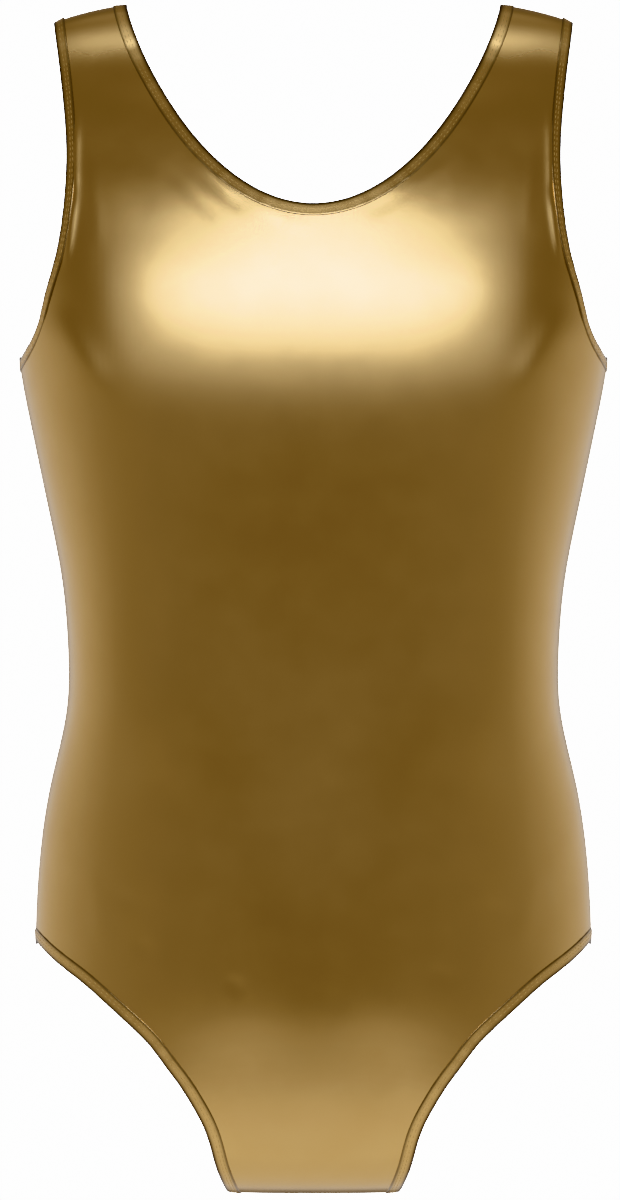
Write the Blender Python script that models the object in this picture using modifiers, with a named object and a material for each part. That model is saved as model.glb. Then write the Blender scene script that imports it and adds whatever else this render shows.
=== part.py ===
"""A sleeveless stretch leotard with a scoop neck, standing open as if it were worn.

Units are metres. Z points up and the front faces -Y. The origin lies midway between the
straps, at the height where the wearer's shoulders hold them up.

The cloth lies on one smooth hollow form. A place on the form is given by two numbers:
"down", the distance down the cloth from the shoulder seam, and "round", the angle round the
body from the middle (0) to the side seam (90 degrees). The front and the back panel each have
their own depth on that form, and they share its width.
"""
import math

import bmesh
import bpy
import numpy as np
from mathutils import Vector

# Cloth and bands
WALL = 0.0013
SEAM_GAP = 0.0003
BAND_WIDTH = 0.0052
BAND_THICKNESS = 0.0026
BAND_SIDES = 8

# The cloth turns over the shoulder and under the crotch, and hangs straight between
SHOULDER_TURN_RADIUS = 0.0160
CROTCH_TURN_RADIUS = 0.0560
BODY_LENGTH = 0.5395
SHOULDER_EASE = 0.018
CROTCH_EASE = 0.040
SHOULDER_TURN = SHOULDER_TURN_RADIUS * math.pi / 2
CROTCH_TURN = CROTCH_TURN_RADIUS * math.pi / 2
CLOTH_LENGTH = SHOULDER_TURN + BODY_LENGTH + CROTCH_TURN

# The hollow form, a row for each section: distance down the cloth, half width, depth of the
# front, depth of the back, and squareness of the section (2 is an ellipse)
FORM_SECTIONS = (
    (0.000, 0.1469, 0.0269, 0.0269, 2.00),
    (0.025, 0.1490, 0.0300, 0.0290, 2.00),
    (0.045, 0.1520, 0.0440, 0.0400, 2.02),
    (0.062, 0.1545, 0.0590, 0.0505, 2.05),
    (0.080, 0.1555, 0.0708, 0.0605, 2.10),
    (0.100, 0.1560, 0.0812, 0.0695, 2.18),
    (0.125, 0.1553, 0.0910, 0.0790, 2.30),
    (0.150, 0.1545, 0.0992, 0.0865, 2.40),
    (0.175, 0.1532, 0.1056, 0.0922, 2.46),
    (0.200, 0.1500, 0.1095, 0.0958, 2.50),
    (0.222, 0.1457, 0.1098, 0.0950, 2.52),
    (0.245, 0.1409, 0.1082, 0.0905, 2.60),
    (0.272, 0.1352, 0.1056, 0.0840, 2.75),
    (0.300, 0.1298, 0.1028, 0.0775, 2.95),
    (0.339, 0.1262, 0.0998, 0.0740, 3.10),
    (0.369, 0.1268, 0.0982, 0.0775, 3.00),
    (0.409, 0.1353, 0.0965, 0.0910, 2.42),
    (0.449, 0.1412, 0.0950, 0.1060, 2.16),
    (0.489, 0.1433, 0.0925, 0.1155, 2.06),
    (0.529, 0.1430, 0.0870, 0.1130, 2.08),
    (0.565, 0.1400, 0.0780, 0.0990, 2.24),
    (0.608, 0.1340, 0.0665, 0.0730, 2.70),
    (0.630, 0.1315, 0.0590, 0.0604, 3.00),
    (CLOTH_LENGTH, 0.1300, 0.0560, 0.0560, 3.10),
)

# Neck edge as seen from the front: half width at the seams, drops, and how round the scoop is
NECK_HALF_WIDTH = 0.0950
NECK_DROP_FRONT = 0.1039
NECK_DROP_BACK = 0.1650
NECK_ROUNDING = 1.62

# Armhole edge as seen from the front: height, distance from the middle in front and behind
STRAP_OUTER_HALF_WIDTH = 0.1357
UNDERARM_HEIGHT = -0.1790
ARMHOLE_EDGE = (
    (-0.024, 0.1331, 0.1326),
    (-0.045, 0.1305, 0.1292),
    (-0.066, 0.1285, 0.1264),
    (-0.086, 0.1283, 0.1256),
    (-0.107, 0.1299, 0.1271),
    (-0.128, 0.1334, 0.1309),
    (-0.149, 0.1390, 0.1370),
    (-0.167, 0.1441, 0.1432),
)

# Leg edge as seen from the front, with the same columns
HIP_CORNER_HEIGHT = -0.4820
CROTCH_HALF_WIDTH = 0.0452
LEG_EDGE = (
    (-0.4916, 0.1331, 0.1325),
    (-0.5020, 0.1193, 0.1182),
    (-0.5124, 0.1072, 0.1059),
    (-0.5228, 0.0956, 0.0943),
    (-0.5332, 0.0850, 0.0838),
    (-0.5436, 0.0771, 0.0760),
    (-0.5540, 0.0694, 0.0684),
    (-0.5644, 0.0629, 0.0620),
    (-0.5748, 0.0574, 0.0568),
    (-0.5852, 0.0538, 0.0533),
    (-0.5956, 0.0511, 0.0508),
)

# How finely each stretch is divided. The middle of a panel has rows from its middle line or
# neck out to the armhole, the side block and the leg, and the side block has its own columns
# between the armhole and the leg opening.
MIDDLE_COLUMNS = 8
SIDE_COLUMNS = 4
UPPER_ROWS = 13
SIDE_ROWS = 28
LOWER_ROWS = 13
NECK_ROWS_FRONT = 15
NECK_ROWS_BACK = 20
ARMHOLE_STEPS = UPPER_ROWS + SIDE_COLUMNS
LEG_STEPS = SIDE_COLUMNS + LOWER_ROWS
PANEL_ROWS = UPPER_ROWS + SIDE_ROWS + LOWER_ROWS
FINE_STEPS = 160

# Small steps for slopes, halvings for finding a place, and how near points are to be one
SLOPE_STEP = 0.0005
ANGLE_STEP = 0.005
HALVINGS = 40
GRID_HALF = 0.5
MERGE_DISTANCE = 0.00005

FRONT = -1
BACK = 1
QUARTER_TURN = math.pi / 2

# Colour, metallic value and roughness of the gold foil knit
CLOTH_LOOK = ((0.400, 0.245, 0.062), 0.90, 0.34)
BAND_LOOK = ((0.450, 0.290, 0.090), 0.80, 0.42)


def smooth_curve(places, values, level_ends):
    """A cubic curve through the rows of a table, with bending that never jumps."""
    count = len(places)
    steps = np.diff(places)
    rises = np.diff(values) / steps
    matrix = np.eye(count)
    right = np.zeros(count)
    for i in range(1, count - 1):
        matrix[i, i - 1] = steps[i]
        matrix[i, i] = 2 * (steps[i - 1] + steps[i])
        matrix[i, i + 1] = steps[i - 1]
        right[i] = 3 * (steps[i] * rises[i - 1] + steps[i - 1] * rises[i])
    if not level_ends:
        matrix[0, :2] = (2, 1)
        matrix[-1, -2:] = (1, 2)
        right[0] = 3 * rises[0]
        right[-1] = 3 * rises[-1]
    slopes = np.linalg.solve(matrix, right)

    def value_at(place):
        i = int(np.clip(np.searchsorted(places, place) - 1, 0, count - 2))
        step = steps[i]
        t = min(max((place - places[i]) / step, 0.0), 1.0)
        start = values[i] * (1 + 2 * t) * (1 - t) ** 2 + slopes[i] * step * t * (1 - t) ** 2
        end = values[i + 1] * t * t * (3 - 2 * t) - slopes[i + 1] * step * t * t * (1 - t)
        return float(start + end)

    return value_at


def form_column(column):
    """One column of the section table as a smooth curve over the distance down."""
    places = np.array([row[0] for row in FORM_SECTIONS])
    values = np.array([row[column] for row in FORM_SECTIONS])
    return smooth_curve(places, values, level_ends=True)


half_width_at = form_column(1)
depth_at = {FRONT: form_column(2), BACK: form_column(3)}
squareness_at = form_column(4)


def turned_length(distance, quarter, ease):
    """How much of the first stretch of cloth goes into a turn, which eases out at its end."""
    start = quarter - ease
    if distance <= start:
        return distance
    t = min((distance - start) / (2 * ease), 1.0)
    return start + 2 * ease * (t - t ** 3 + t ** 4 / 2)


def section_stance(down):
    """The height of a section's middle, and how far it faces round from straight up."""
    over_shoulder = turned_length(down, SHOULDER_TURN, SHOULDER_EASE)
    under_crotch = CROTCH_TURN - turned_length(CLOTH_LENGTH - down, CROTCH_TURN, CROTCH_EASE)
    height = -SHOULDER_TURN_RADIUS - (down - over_shoulder - under_crotch)
    facing = over_shoulder / SHOULDER_TURN_RADIUS + under_crotch / CROTCH_TURN_RADIUS
    return height, facing


def form_point(side, down, round_angle):
    """A point of the hollow form."""
    height, facing = section_stance(down)
    square = squareness_at(down)
    across = math.sin(round_angle)
    outward = math.cos(round_angle)
    size = (abs(across) ** square + abs(outward) ** square) ** (1 / square)
    reach = depth_at[side](down) * outward / size
    x = half_width_at(down) * across / size
    return Vector((x, side * reach * math.sin(facing), height + reach * math.cos(facing)))


def form_normal(side, down, round_angle):
    """The outward direction of the form there."""
    along = form_point(side, down + SLOPE_STEP, round_angle)
    along -= form_point(side, down - SLOPE_STEP, round_angle)
    around = form_point(side, down, round_angle + ANGLE_STEP)
    around -= form_point(side, down, round_angle - ANGLE_STEP)
    return (around.cross(along) * side).normalized()


def solve_down(is_above):
    """The distance down at which a test stops being true, found by halving."""
    low = 0.0
    high = CLOTH_LENGTH
    for _ in range(HALVINGS):
        middle = (low + high) / 2
        if is_above(middle):
            low = middle
        else:
            high = middle
    return (low + high) / 2


def round_angle_at(down, x):
    """The angle round the body of a point x from the middle."""
    square = squareness_at(down)
    across = min(x / half_width_at(down), 1.0)
    return math.atan2(across, (1 - across ** square) ** (1 / square))


def place_seen_in_front(side, x, z):
    """The place on the form that shows at x and z in a front view."""

    def is_above(down):
        return form_point(side, down, round_angle_at(down, x)).z > z

    down = solve_down(is_above)
    return down, round_angle_at(down, x)


def place_of_point(side, point):
    """The place on the form next to a point in space."""
    outward = side * point.y

    def is_above(down):
        height, facing = section_stance(down)
        return outward * math.cos(facing) > (point.z - height) * math.sin(facing)

    down = solve_down(is_above)
    height, facing = section_stance(down)
    reach = outward * math.sin(facing) + (point.z - height) * math.cos(facing)
    across = point.x / half_width_at(down)
    return down, math.atan2(across, reach / depth_at[side](down))


def even_places(side, places, count):
    """A given number of equal steps along a finely divided line on the form."""
    points = [form_point(side, *place) for place in places]
    lengths = [0.0]
    for before, after in zip(points, points[1:]):
        lengths.append(lengths[-1] + (after - before).length)
    wanted = np.linspace(0, lengths[-1], count + 1)
    downs = np.interp(wanted, lengths, [place[0] for place in places])
    angles = np.interp(wanted, lengths, [place[1] for place in places])
    return [(side, float(down), float(angle)) for down, angle in zip(downs, angles)]


def neck_edge(side, count):
    """Half of the finished neck edge on one side, from the shoulder seam to the middle."""
    drop = NECK_DROP_FRONT if side == FRONT else NECK_DROP_BACK
    seam_angle = round_angle_at(0, NECK_HALF_WIDTH)
    top = form_point(side, 0, seam_angle).z
    places = [(0.0, seam_angle)]
    for i in range(1, FINE_STEPS):
        t = i / FINE_STEPS * QUARTER_TURN
        x = NECK_HALF_WIDTH * math.cos(t)
        places.append(place_seen_in_front(side, x, top - drop * math.sin(t) ** NECK_ROUNDING))
    places.append(place_seen_in_front(side, 0.0, top - drop))
    return even_places(side, places, count)


def tabled_edge(side, first, rows, last, count):
    """A finished edge on one side, from its table and its two end points in the front view."""
    column = 1 if side == FRONT else 2
    ladder = [first] + [(row[0], row[column]) for row in rows] + [last]
    heights = np.array([row[0] for row in reversed(ladder)])
    offsets = np.array([row[1] for row in reversed(ladder)])
    offset_at = smooth_curve(heights, offsets, level_ends=False)
    places = []
    for i in range(FINE_STEPS + 1):
        t = i / FINE_STEPS
        z = first[0] + (last[0] - first[0]) * t * t * (3 - 2 * t)
        places.append(place_seen_in_front(side, offset_at(z), z))
    return even_places(side, places, count)


def armhole_edge(side):
    """The finished armhole edge on one side, from the shoulder seam to the underarm."""
    seam_angle = round_angle_at(0, STRAP_OUTER_HALF_WIDTH)
    top = (form_point(side, 0, seam_angle).z, STRAP_OUTER_HALF_WIDTH)
    underarm_down = place_seen_in_front(side, 0.0, UNDERARM_HEIGHT)[0]
    underarm = (UNDERARM_HEIGHT, half_width_at(underarm_down))
    return tabled_edge(side, top, ARMHOLE_EDGE, underarm, ARMHOLE_STEPS)


def leg_edge(side):
    """The finished leg edge on one side, from the hip corner to the crotch seam."""
    hip_down = place_seen_in_front(side, 0.0, HIP_CORNER_HEIGHT)[0]
    hip = (HIP_CORNER_HEIGHT, half_width_at(hip_down))
    crotch_angle = round_angle_at(CLOTH_LENGTH, CROTCH_HALF_WIDTH)
    crotch = (form_point(side, CLOTH_LENGTH, crotch_angle).z, CROTCH_HALF_WIDTH)
    return tabled_edge(side, hip, LEG_EDGE, crotch, LEG_STEPS)


def edge_frames(places, closed, turn):
    """For each place on an edge: its point, the outward direction, and the way into the cloth."""
    points = [form_point(*place) for place in places]
    count = len(points)
    frames = []
    for i, place in enumerate(places):
        if closed:
            along = points[(i + 1) % count] - points[i - 1]
        elif i in (0, count - 1):
            along = Vector((-1, 0, 0)) * (1 if i else -1)
        else:
            along = points[i + 1] - points[i - 1]
        normal = form_normal(*place)
        frames.append((points[i], normal, turn * normal.cross(along).normalized()))
    return frames


def panel_edge(side, frames):
    """Where a panel ends under its band: the band's width and a gap in from the edge."""
    limit = CLOTH_LENGTH - SEAM_GAP / 2
    places = []
    for point, _, inward in frames:
        down, angle = place_of_point(side, point + inward * (BAND_WIDTH + SEAM_GAP))
        down = min(max(down, SEAM_GAP / 2), limit)
        places.append((down, min(angle, side_seam_angle(side, down))))
    return places


def side_seam_angle(side, down):
    """The angle at which a panel stops short of the side seam."""
    return QUARTER_TURN - SEAM_GAP / 2 / depth_at[side](down)


def between(start, end, t):
    """The place a part of the way from one place on the form to another."""
    return start[0] + (end[0] - start[0]) * t, start[1] + (end[1] - start[1]) * t


def places_between(start, end, count):
    """A straight run of places, both ends included."""
    return [between(start, end, i / count) for i in range(count + 1)]


def make_material(name, look):
    """The gold cloth of one piece."""
    colour, metallic, roughness = look
    material = bpy.data.materials.new(name)
    material.use_nodes = True
    shader = material.node_tree.nodes["Principled BSDF"]
    shader.inputs["Base Color"].default_value = (*colour, 1)
    shader.inputs["Metallic"].default_value = metallic
    shader.inputs["Roughness"].default_value = roughness
    return material


def add_object(name, shape, look, collection):
    """A finished mesh as one named, smooth-shaded object."""
    mesh = bpy.data.meshes.new(name)
    shape.to_mesh(mesh)
    shape.free()
    mesh.shade_smooth()
    mesh.materials.append(make_material(name + "_cloth", look))
    item = bpy.data.objects.new(name, mesh)
    collection.objects.link(item)
    return item


def shaped_grid(columns, rows, point_at):
    """A grid whose points are moved to where point_at(column, row) says."""
    shape = bmesh.new()
    bmesh.ops.create_grid(shape, x_segments=columns, y_segments=rows, size=GRID_HALF)
    for vertex in shape.verts:
        column = round((vertex.co.x + GRID_HALF) * columns)
        row = round((vertex.co.y + GRID_HALF) * rows)
        vertex.co = point_at(column, row)
    return shape


def add_shape(shape, other):
    """Put a second shape's faces into the first."""
    mesh = bpy.data.meshes.new("joined")
    other.to_mesh(mesh)
    other.free()
    shape.from_mesh(mesh)
    bpy.data.meshes.remove(mesh)


def add_mirror(item):
    """The other half of a piece that is the same left and right."""
    mirror = item.modifiers.new("other_half", "MIRROR")
    mirror.use_axis = (True, False, False)
    mirror.merge_threshold = MERGE_DISTANCE


def side_seam_run(side, start, end):
    """The places down a side seam, just short of it."""
    downs = [start[0] + (end[0] - start[0]) * i / SIDE_ROWS for i in range(SIDE_ROWS + 1)]
    return [(down, side_seam_angle(side, down)) for down in downs]


def make_panel(name, side, edges, collection):
    """A front or back panel: half of it on the form, mirrored, then given its wall."""
    neck, armhole, leg = (panel_edge(side, frames) for frames in edges)
    underarm = armhole[UPPER_ROWS:]
    hip = leg[SIDE_COLUMNS::-1]
    divide = places_between(underarm[0], hip[0], SIDE_ROWS)
    seam = side_seam_run(side, underarm[-1], hip[-1])
    outer = armhole[:UPPER_ROWS] + divide + leg[SIDE_COLUMNS + 1:]
    crotch = (CLOTH_LENGTH - SEAM_GAP / 2, 0.0)
    inner = neck[:-1] + places_between(neck[-1], crotch, PANEL_ROWS + 1 - len(neck))

    def middle_point(column, row):
        return form_point(side, *between(inner[row], outer[row], column / MIDDLE_COLUMNS))

    def side_point(column, row):
        across = column / SIDE_COLUMNS
        fall = row / SIDE_ROWS
        level = between(divide[row], seam[row], across)
        arc = between(underarm[column], hip[column], fall)
        top = between(underarm[0], underarm[-1], across)
        bottom = between(hip[0], hip[-1], across)
        flat = between(top, bottom, fall)
        return form_point(side, *(a + b - c for a, b, c in zip(level, arc, flat)))

    shape = shaped_grid(MIDDLE_COLUMNS, PANEL_ROWS, middle_point)
    side_block = shaped_grid(SIDE_COLUMNS, SIDE_ROWS, side_point)
    add_shape(shape, side_block)
    bmesh.ops.remove_doubles(shape, verts=shape.verts, dist=MERGE_DISTANCE)
    if side == FRONT:
        bmesh.ops.reverse_faces(shape, faces=shape.faces)
    panel = add_object(name, shape, CLOTH_LOOK, collection)
    add_mirror(panel)
    wall = panel.modifiers.new("wall", "SOLIDIFY")
    wall.thickness = WALL
    wall.offset = 1


def make_band(name, frames, closed, collection, flip=1):
    """A narrow turned band: a rounded flat section carried along the edge of the cloth."""
    count = len(frames)

    def point_at(station, side_number):
        point, normal, inward = frames[station % count]
        angle = 2 * math.pi * (side_number % BAND_SIDES + 0.5) / BAND_SIDES
        width = BAND_WIDTH / 2 * (1 + math.cos(angle) / math.cos(math.pi / BAND_SIDES))
        lift = WALL / 2 + BAND_THICKNESS / 2 * math.sin(angle)
        place = point + inward * width + normal * lift
        return Vector((place.x * flip, place.y, place.z))

    shape = shaped_grid(count if closed else count - 1, BAND_SIDES, point_at)
    bmesh.ops.remove_doubles(shape, verts=shape.verts, dist=MERGE_DISTANCE)
    bmesh.ops.recalc_face_normals(shape, faces=shape.faces)
    return add_object(name, shape, BAND_LOOK, collection)


def make_leotard():
    """Clear the scene, work out the three edges, and make the seven pieces from them."""
    for item in list(bpy.data.objects):
        bpy.data.objects.remove(item, do_unlink=True)
    collection = bpy.data.collections.new("leotard")
    bpy.context.scene.collection.children.link(collection)

    neck_places = neck_edge(BACK, NECK_ROWS_BACK)[::-1] + neck_edge(FRONT, NECK_ROWS_FRONT)[1:]
    armhole_places = armhole_edge(FRONT) + armhole_edge(BACK)[-2:0:-1]
    leg_places = leg_edge(FRONT) + leg_edge(BACK)[-2:0:-1]
    neck = edge_frames(neck_places, closed=False, turn=1)
    armhole = edge_frames(armhole_places, closed=True, turn=-1)
    leg = edge_frames(leg_places, closed=True, turn=-1)

    front_edges = (neck[NECK_ROWS_BACK:], armhole[:ARMHOLE_STEPS + 1], leg[:LEG_STEPS + 1])
    back_edges = (
        neck[NECK_ROWS_BACK::-1],
        armhole[:1] + armhole[:ARMHOLE_STEPS - 1:-1],
        leg[:1] + leg[:LEG_STEPS - 1:-1],
    )
    make_panel("front_panel", FRONT, front_edges, collection)
    make_panel("back_panel", BACK, back_edges, collection)

    neck_band = make_band("neck_binding", neck, False, collection)
    add_mirror(neck_band)
    for hand, flip in (("left", 1), ("right", -1)):
        make_band(f"armhole_binding_{hand}", armhole, True, collection, flip)
        make_band(f"leg_binding_{hand}", leg, True, collection, flip)


make_leotard()
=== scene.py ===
"""Looks for a sleeveless leotard in gold foil knit, kept in its open, worn shape.

Metres, Z up, the front faces -Y, the origin is between the straps where the shoulders hold
them. The file follows the sewing: front, back, neck band, armhole bands, leg bands, stitches,
then the studio that it stands in.
"""
import bisect
import math

import bmesh
import bpy
import numpy as np
from mathutils import Matrix, Vector


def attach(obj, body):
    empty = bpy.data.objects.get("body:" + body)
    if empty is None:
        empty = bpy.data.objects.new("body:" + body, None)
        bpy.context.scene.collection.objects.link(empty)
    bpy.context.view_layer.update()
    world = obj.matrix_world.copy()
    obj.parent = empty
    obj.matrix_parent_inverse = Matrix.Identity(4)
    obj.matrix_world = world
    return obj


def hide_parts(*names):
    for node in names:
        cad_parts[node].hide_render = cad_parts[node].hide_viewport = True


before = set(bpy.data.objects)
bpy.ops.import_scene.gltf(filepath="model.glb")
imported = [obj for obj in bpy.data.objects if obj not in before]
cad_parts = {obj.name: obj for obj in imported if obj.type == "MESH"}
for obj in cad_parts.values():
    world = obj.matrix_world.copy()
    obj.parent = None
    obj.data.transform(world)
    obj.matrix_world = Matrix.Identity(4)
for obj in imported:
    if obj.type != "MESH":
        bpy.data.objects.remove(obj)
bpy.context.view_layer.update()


# Front panel
# One piece of stretch knit with a gold foil face, cut from the shoulder seams to the crotch
# seam. It lies on the same hollow form as its solid, as a thin shell with soft pull creases.

# The form: distance down the cloth from the shoulder seam, half width, depth of the front,
# depth of the back, and squareness of the section (2 is an ellipse)
SHOULDER_TURN_RADIUS = 0.0160
CROTCH_TURN_RADIUS = 0.0560
BODY_LENGTH = 0.5395
SHOULDER_EASE = 0.018
CROTCH_EASE = 0.040
SHOULDER_TURN = SHOULDER_TURN_RADIUS * math.pi / 2
CROTCH_TURN = CROTCH_TURN_RADIUS * math.pi / 2
CLOTH_LENGTH = SHOULDER_TURN + BODY_LENGTH + CROTCH_TURN
FORM_SECTIONS = (
    (0.000, 0.1469, 0.0269, 0.0269, 2.00),
    (0.025, 0.1490, 0.0300, 0.0290, 2.00),
    (0.045, 0.1520, 0.0440, 0.0400, 2.02),
    (0.062, 0.1545, 0.0590, 0.0505, 2.05),
    (0.080, 0.1555, 0.0708, 0.0605, 2.10),
    (0.100, 0.1560, 0.0812, 0.0695, 2.18),
    (0.125, 0.1553, 0.0910, 0.0790, 2.30),
    (0.150, 0.1545, 0.0992, 0.0865, 2.40),
    (0.175, 0.1532, 0.1056, 0.0922, 2.46),
    (0.200, 0.1500, 0.1095, 0.0958, 2.50),
    (0.222, 0.1457, 0.1098, 0.0950, 2.52),
    (0.245, 0.1409, 0.1082, 0.0905, 2.60),
    (0.272, 0.1352, 0.1056, 0.0840, 2.75),
    (0.300, 0.1298, 0.1028, 0.0775, 2.95),
    (0.339, 0.1262, 0.0998, 0.0740, 3.10),
    (0.369, 0.1268, 0.0982, 0.0775, 3.00),
    (0.409, 0.1353, 0.0965, 0.0910, 2.42),
    (0.449, 0.1412, 0.0950, 0.1060, 2.16),
    (0.489, 0.1433, 0.0925, 0.1155, 2.06),
    (0.529, 0.1430, 0.0870, 0.1130, 2.08),
    (0.565, 0.1400, 0.0780, 0.0990, 2.24),
    (0.608, 0.1340, 0.0665, 0.0730, 2.70),
    (0.630, 0.1315, 0.0590, 0.0604, 3.00),
    (CLOTH_LENGTH, 0.1300, 0.0560, 0.0560, 3.10),
)
FRONT = -1
BACK = 1
QUARTER_TURN = math.pi / 2
HALVINGS = 40
SLOPE_STEP = 0.0005
ANGLE_STEP = 0.005

# Neck edge as seen from the front
NECK_HALF_WIDTH = 0.0950
NECK_DROP = {FRONT: 0.1039, BACK: 0.1650}
NECK_ROUNDING = 1.62
FINE_STEPS = 160

# Armhole edge as seen from the front: height, distance from the middle in front and behind
STRAP_OUTER_HALF_WIDTH = 0.1357
UNDERARM_HEIGHT = -0.1790
ARMHOLE_EDGE = (
    (-0.024, 0.1331, 0.1326),
    (-0.045, 0.1305, 0.1292),
    (-0.066, 0.1285, 0.1264),
    (-0.086, 0.1283, 0.1256),
    (-0.107, 0.1299, 0.1271),
    (-0.128, 0.1334, 0.1309),
    (-0.149, 0.1390, 0.1370),
    (-0.167, 0.1441, 0.1432),
)

# Leg edge as seen from the front, with the same columns
HIP_CORNER_HEIGHT = -0.4820
CROTCH_HALF_WIDTH = 0.0452
LEG_EDGE = (
    (-0.4916, 0.1331, 0.1325),
    (-0.5020, 0.1193, 0.1182),
    (-0.5124, 0.1072, 0.1059),
    (-0.5228, 0.0956, 0.0943),
    (-0.5332, 0.0850, 0.0838),
    (-0.5436, 0.0771, 0.0760),
    (-0.5540, 0.0694, 0.0684),
    (-0.5644, 0.0629, 0.0620),
    (-0.5748, 0.0574, 0.0568),
    (-0.5852, 0.0538, 0.0533),
    (-0.5956, 0.0511, 0.0508),
)

# How finely the cloth is divided
MIDDLE_COLUMNS = 46
SIDE_COLUMNS = 22
UPPER_ROWS = 62
SIDE_ROWS = 134
LOWER_ROWS = 62
NECK_ROWS = {FRONT: 72, BACK: 96}
ARMHOLE_STEPS = UPPER_ROWS + SIDE_COLUMNS
LEG_STEPS = SIDE_COLUMNS + LOWER_ROWS
PANEL_ROWS = UPPER_ROWS + SIDE_ROWS + LOWER_ROWS
MERGE_DISTANCE = 0.00003

# The shell: its outer face is the solid's, and its edge runs in under the bands
OUTER_LIFT = 0.0013
SHELL_THICKNESS = 0.0007
BAND_WIDTH = 0.0052
TUCK = 0.0012
SEAM_GAP = 0.0003


def smooth_curve(places, values, level_ends):
    """A cubic curve through the rows of a table, with bending that never jumps."""
    count = len(places)
    steps = np.diff(places)
    rises = np.diff(values) / steps
    matrix = np.eye(count)
    right = np.zeros(count)
    for i in range(1, count - 1):
        matrix[i, i - 1] = steps[i]
        matrix[i, i] = 2 * (steps[i - 1] + steps[i])
        matrix[i, i + 1] = steps[i - 1]
        right[i] = 3 * (steps[i] * rises[i - 1] + steps[i - 1] * rises[i])
    if not level_ends:
        matrix[0, :2] = (2, 1)
        matrix[-1, -2:] = (1, 2)
        right[0] = 3 * rises[0]
        right[-1] = 3 * rises[-1]
    slopes = np.linalg.solve(matrix, right).tolist()
    knots = [float(place) for place in places]
    heights = [float(value) for value in values]

    def value_at(place):
        i = min(max(bisect.bisect_left(knots, place) - 1, 0), count - 2)
        step = knots[i + 1] - knots[i]
        t = min(max((place - knots[i]) / step, 0.0), 1.0)
        start = heights[i] * (1 + 2 * t) * (1 - t) ** 2 + slopes[i] * step * t * (1 - t) ** 2
        end = heights[i + 1] * t * t * (3 - 2 * t) - slopes[i + 1] * step * t * t * (1 - t)
        return start + end

    return value_at


def form_column(column):
    """One column of the section table as a smooth curve over the distance down."""
    places = np.array([row[0] for row in FORM_SECTIONS])
    values = np.array([row[column] for row in FORM_SECTIONS])
    return smooth_curve(places, values, level_ends=True)


half_width_at = form_column(1)
depth_at = {FRONT: form_column(2), BACK: form_column(3)}
squareness_at = form_column(4)


def turned_length(distance, quarter, ease):
    """How much of the first stretch of cloth goes into a turn, which eases out at its end."""
    start = quarter - ease
    if distance <= start:
        return distance
    t = min((distance - start) / (2 * ease), 1.0)
    return start + 2 * ease * (t - t ** 3 + t ** 4 / 2)


def section_stance(down):
    """The height of a section's middle, and how far it faces round from straight up."""
    over_shoulder = turned_length(down, SHOULDER_TURN, SHOULDER_EASE)
    under_crotch = CROTCH_TURN - turned_length(CLOTH_LENGTH - down, CROTCH_TURN, CROTCH_EASE)
    height = -SHOULDER_TURN_RADIUS - (down - over_shoulder - under_crotch)
    facing = over_shoulder / SHOULDER_TURN_RADIUS + under_crotch / CROTCH_TURN_RADIUS
    return height, facing


def form_point(side, down, round_angle):
    """A point of the hollow form."""
    height, facing = section_stance(down)
    square = squareness_at(down)
    across = math.sin(round_angle)
    outward = math.cos(round_angle)
    size = (abs(across) ** square + abs(outward) ** square) ** (1 / square)
    reach = depth_at[side](down) * outward / size
    x = half_width_at(down) * across / size
    return Vector((x, side * reach * math.sin(facing), height + reach * math.cos(facing)))


def form_normal(side, down, round_angle):
    """The outward direction of the form there."""
    along = form_point(side, down + SLOPE_STEP, round_angle)
    along -= form_point(side, down - SLOPE_STEP, round_angle)
    around = form_point(side, down, round_angle + ANGLE_STEP)
    around -= form_point(side, down, round_angle - ANGLE_STEP)
    return (around.cross(along) * side).normalized()


def solve_down(is_above):
    """The distance down at which a test stops being true, found by halving."""
    low = 0.0
    high = CLOTH_LENGTH
    for _ in range(HALVINGS):
        middle = (low + high) / 2
        if is_above(middle):
            low = middle
        else:
            high = middle
    return (low + high) / 2


def round_angle_at(down, x):
    """The angle round the body of a point x from the middle."""
    square = squareness_at(down)
    across = min(x / half_width_at(down), 1.0)
    return math.atan2(across, (1 - across ** square) ** (1 / square))


def place_seen_in_front(side, x, z):
    """The place on the form that shows at x and z in a front view."""

    def is_above(down):
        return form_point(side, down, round_angle_at(down, x)).z > z

    down = solve_down(is_above)
    return down, round_angle_at(down, x)


def place_of_point(side, point):
    """The place on the form next to a point in space."""
    outward = side * point.y

    def is_above(down):
        height, facing = section_stance(down)
        return outward * math.cos(facing) > (point.z - height) * math.sin(facing)

    down = solve_down(is_above)
    height, facing = section_stance(down)
    reach = outward * math.sin(facing) + (point.z - height) * math.cos(facing)
    across = point.x / half_width_at(down)
    return down, math.atan2(across, reach / depth_at[side](down))


def even_places(side, places, count):
    """A given number of equal steps along a finely divided line on the form."""
    points = [form_point(side, *place) for place in places]
    lengths = [0.0]
    for before, after in zip(points, points[1:]):
        lengths.append(lengths[-1] + (after - before).length)
    wanted = np.linspace(0, lengths[-1], count + 1)
    downs = np.interp(wanted, lengths, [place[0] for place in places])
    angles = np.interp(wanted, lengths, [place[1] for place in places])
    return [(side, float(down), float(angle)) for down, angle in zip(downs, angles)]


def neck_edge(side, count):
    """Half of the finished neck edge on one side, from the shoulder seam to the middle."""
    drop = NECK_DROP[side]
    seam_angle = round_angle_at(0, NECK_HALF_WIDTH)
    top = form_point(side, 0, seam_angle).z
    places = [(0.0, seam_angle)]
    for i in range(1, FINE_STEPS):
        t = i / FINE_STEPS * QUARTER_TURN
        x = NECK_HALF_WIDTH * math.cos(t)
        places.append(place_seen_in_front(side, x, top - drop * math.sin(t) ** NECK_ROUNDING))
    places.append(place_seen_in_front(side, 0.0, top - drop))
    return even_places(side, places, count)


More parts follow.
